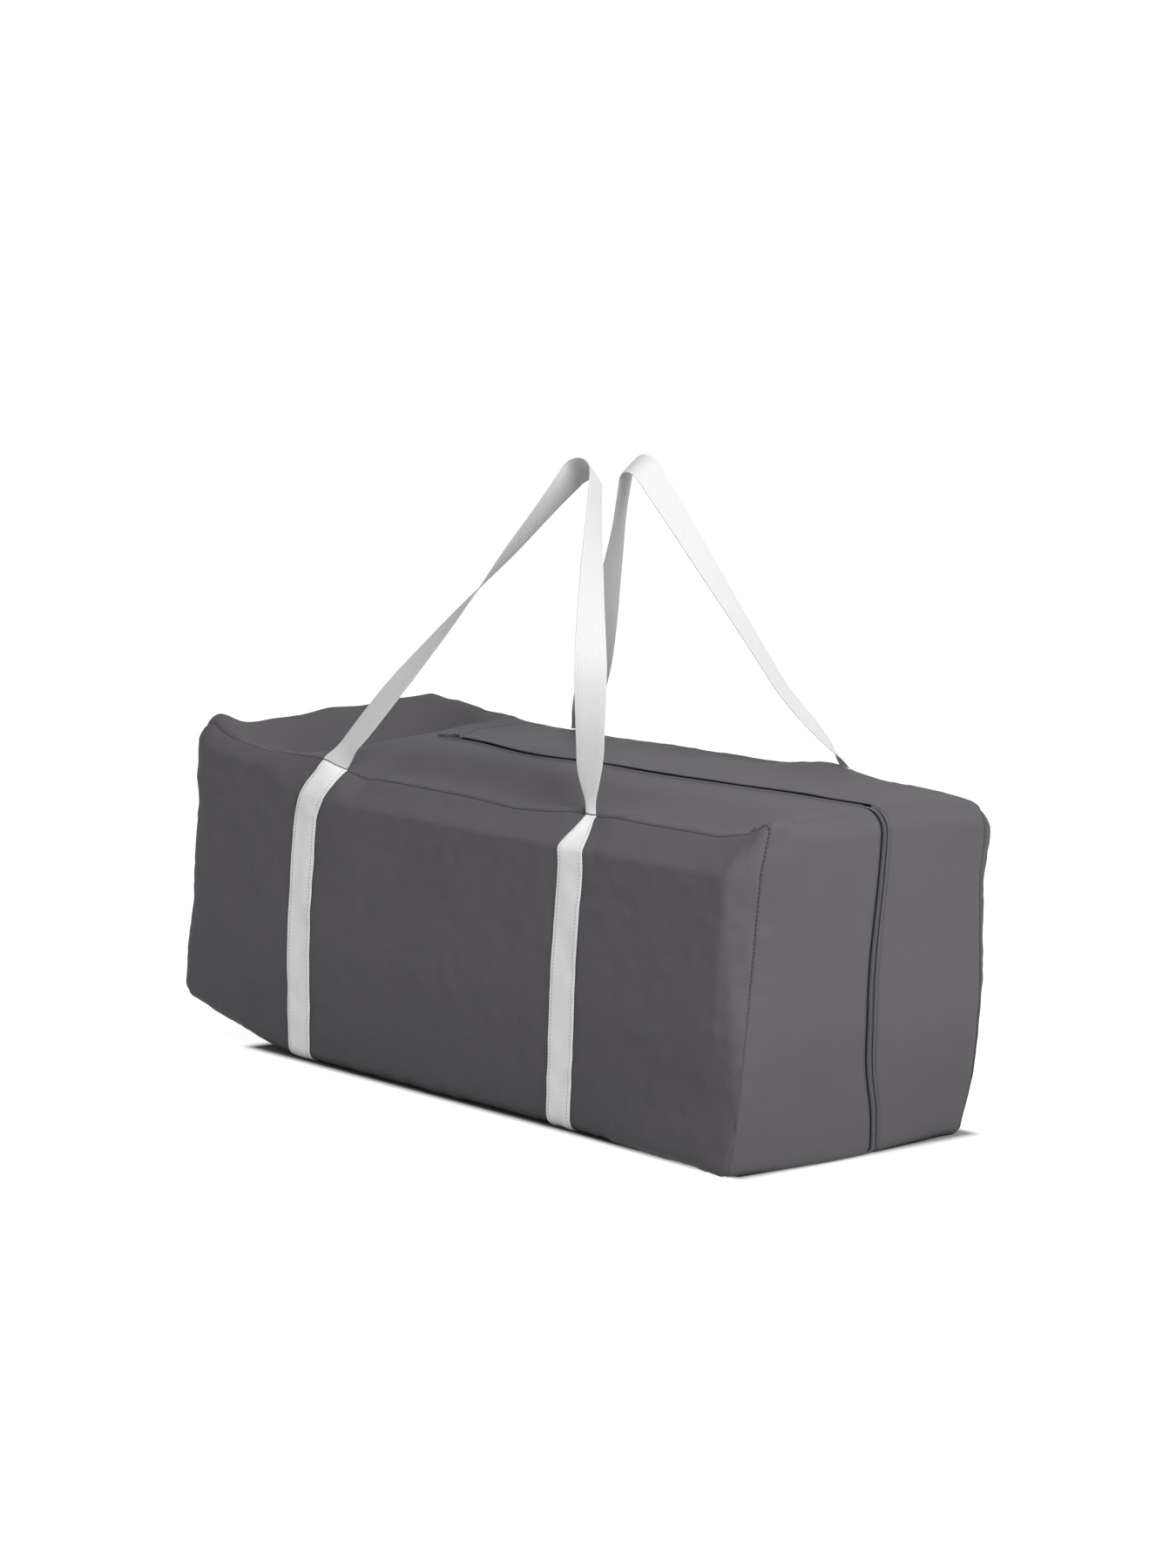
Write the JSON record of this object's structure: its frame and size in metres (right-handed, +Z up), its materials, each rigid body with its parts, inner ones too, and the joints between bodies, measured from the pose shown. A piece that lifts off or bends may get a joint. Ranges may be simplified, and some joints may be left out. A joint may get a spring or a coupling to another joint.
{
  "type": "playpen packed in carry bag",
  "caption": "Folded play yard in its zipped dark grey carry bag with two light grey webbing handles.",
  "frame": {"origin": "on the floor under the middle of the bag", "axes": "+X towards the zipped end, -Y towards the front side, +Z up"},
  "size_m": [0.7406, 0.3312, 0.6022],
  "materials": {
    "bag_fabric": "plain-woven polyester, dark grey with a slight purple cast",
    "webbing": "light grey polypropylene webbing",
    "zip_coil": "nylon coil on woven tape",
    "zip_metal": "dark enamelled zinc",
    "mattress_cover": "grey polyester cover",
    "closure_webbing": "black hook-and-loop webbing",
    "board": "hardboard",
    "frame_tube": "grey powder coat",
    "moulding": "black moulded plastic",
    "pin_steel": "zinc plated steel",
    "liner_cloth": "polyester cloth and mesh"
  },
  "bodies": {
    "root": {"front_side_panel": "bag_fabric", "back_side_panel": "bag_fabric", "base_panel": "bag_fabric", "closed_end_panel": "bag_fabric", "zip_end_front": "bag_fabric", "zip_end_back": "bag_fabric", "end_zip_front": "zip_coil", "end_zip_back": "zip_coil", "front_strap_closed": "webbing", "front_strap_zip": "webbing", "back_strap_closed": "webbing", "back_strap_zip": "webbing", "mattress_front": "mattress_cover", "mattress_back": "mattress_cover", "mattress_top": "mattress_cover", "mattress_bottom": "mattress_cover", "mattress_boards": "board", "closure_strap_closed": "closure_webbing", "closure_strap_zip": "closure_webbing", "post_front_low": "frame_tube", "post_front_high": "frame_tube", "post_back_low": "frame_tube", "post_back_high": "frame_tube", "corner_front_low": "moulding", "corner_front_high": "moulding", "corner_back_low": "moulding", "corner_back_high": "moulding", "foot_front_low": "moulding", "foot_front_high": "moulding", "foot_back_low": "moulding", "foot_back_high": "moulding", "long_rail_front_low": "frame_tube", "long_rail_front_high": "frame_tube", "long_rail_back_low": "frame_tube", "long_rail_back_high": "frame_tube", "short_rail_front_low": "frame_tube", "short_rail_front_high": "frame_tube", "short_rail_back_low": "frame_tube", "short_rail_back_high": "frame_tube", "long_latch_low": "moulding", "long_latch_high": "moulding", "short_latch_front": "moulding", "short_latch_back": "moulding", "leg_front_low": "frame_tube", "leg_front_high": "frame_tube", "leg_back_low": "frame_tube", "leg_back_high": "frame_tube", "base_hub": "moulding", "pivot_pins": "pin_steel", "liner": "liner_cloth"},
    "front_flap": {"top_flap_front": "bag_fabric", "top_zip_front": "zip_coil"},
    "back_flap": {"top_flap_back": "bag_fabric", "top_zip_back": "zip_coil"},
    "slider": {"zip_slider": "zip_metal"},
    "pull": {"zip_pull": "zip_metal"},
    "front_handle": {"front_handle": "webbing"},
    "back_handle": {"back_handle": "webbing"}
  },
  "joints": [
    {"name": "front_flap_open", "type": "hinge", "parent": "root", "child": "front_flap", "pos_m": [0, -0.15, 0.295], "axis": [1, 0, 0], "range_deg": [0, 55], "deforming": ["top_zip_front"]},
    {"name": "back_flap_open", "type": "hinge", "parent": "root", "child": "back_flap", "pos_m": [0, 0.15, 0.315], "axis": [-1, 0, 0], "range_deg": [0, 55], "deforming": ["top_zip_back"]},
    {"name": "zip_slide", "type": "slide", "parent": "root", "child": "slider", "axis": [1, 0, 0], "range_m": [0, 0.5]},
    {"name": "pull_flip", "type": "hinge", "parent": "slider", "child": "pull", "pos_m": [-0.16867, 0, 0.31365], "axis": [0, 1, 0], "range_deg": [0, 165]},
    {"name": "front_handle_swing", "type": "hinge", "parent": "root", "child": "front_handle", "pos_m": [0, -0.15881, 0.29405], "axis": [1, 0, 0], "range_deg": [0, 135]},
    {"name": "back_handle_swing", "type": "hinge", "parent": "root", "child": "back_handle", "pos_m": [0, 0.15881, 0.31405], "axis": [-1, 0, 0], "range_deg": [0, 135]}
  ],
  "couplings": [
    {"joint": "back_flap_open", "follows": "front_flap_open", "ratio": 1},
    {"joint": "zip_slide", "follows": "front_flap_open", "m_per_rad": 0.52}
  ]
}
